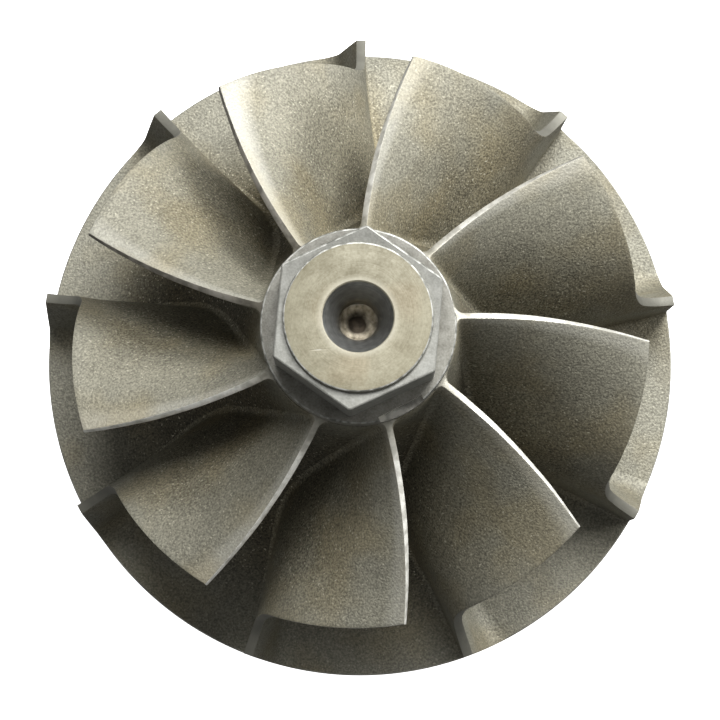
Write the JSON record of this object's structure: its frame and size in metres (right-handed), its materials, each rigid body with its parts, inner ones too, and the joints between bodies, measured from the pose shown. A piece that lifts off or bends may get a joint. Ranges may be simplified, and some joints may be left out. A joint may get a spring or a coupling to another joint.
{
  "type": "turbine rotor wheel",
  "caption": "Radial-inflow turbine wheel: full back disc, flared hub, swept blades with turned tips, and a hexagonal nose with a turned land and centre-drilled hole.",
  "frame": {"origin": "middle of the weld boss's flat face, on the axis of rotation, which is also the middle of the underside of the wheel's box", "axes": "+Z along the axis of rotation, from the weld boss to the nose; +X is the right of the picture and +Y its top, so the wheel turns clockwise when it is seen from +Z"},
  "size_m": [0.06, 0.06, 0.0451],
  "materials": {
    "blasted_casting": "nickel alloy investment casting, grit blasted, warm grey and finely grained",
    "nose_casting": "nickel alloy casting, smoother and more neutral grey on the hexagon and collar, with ground marks",
    "turned_face": "turned, with fine circular tool marks and a yellowish heat tint"
  },
  "bodies": {
    "root": {"back_disc": "blasted_casting", "hub": "blasted_casting", "blade_1": "blasted_casting", "blade_2": "blasted_casting", "blade_3": "blasted_casting", "blade_4": "blasted_casting", "blade_5": "blasted_casting", "blade_6": "blasted_casting", "blade_7": "blasted_casting", "blade_8": "blasted_casting", "blade_9": "blasted_casting", "nose_collar": "nose_casting", "hex_nose": "nose_casting", "nose_land": "turned_face", "weld_boss": "turned_face"}
  },
  "joints": []
}
